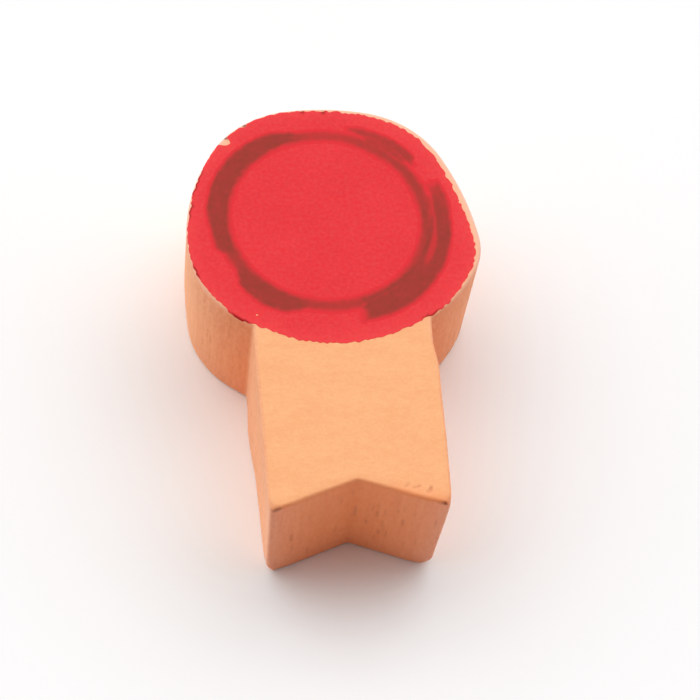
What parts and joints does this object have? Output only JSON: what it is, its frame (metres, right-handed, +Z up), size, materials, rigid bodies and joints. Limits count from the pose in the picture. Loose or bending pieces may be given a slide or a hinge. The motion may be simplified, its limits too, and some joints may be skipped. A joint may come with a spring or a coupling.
{
  "type": "game token",
  "caption": "Thick wooden game token shaped as a wax seal on a short swallow-tailed ribbon, stained peach, with a red seal and a dark brushed ring printed on its upper face.",
  "frame": {"origin": "middle of the seal, on the flat underside that the token lies on", "axes": "+Z up out of the printed face, -Y along the ribbon to its tails, +X to the right as seen from the tails"},
  "size_m": [0.0165, 0.026, 0.0081],
  "materials": {
    "stained_wood": "matt stain, tumbled edges",
    "red_ink": "matt screen print",
    "dark_ink": "matt screen print over the red"
  },
  "bodies": {
    "root": {"token_blank": "stained_wood", "seal_print": "red_ink", "ring_print": "dark_ink"}
  },
  "joints": []
}
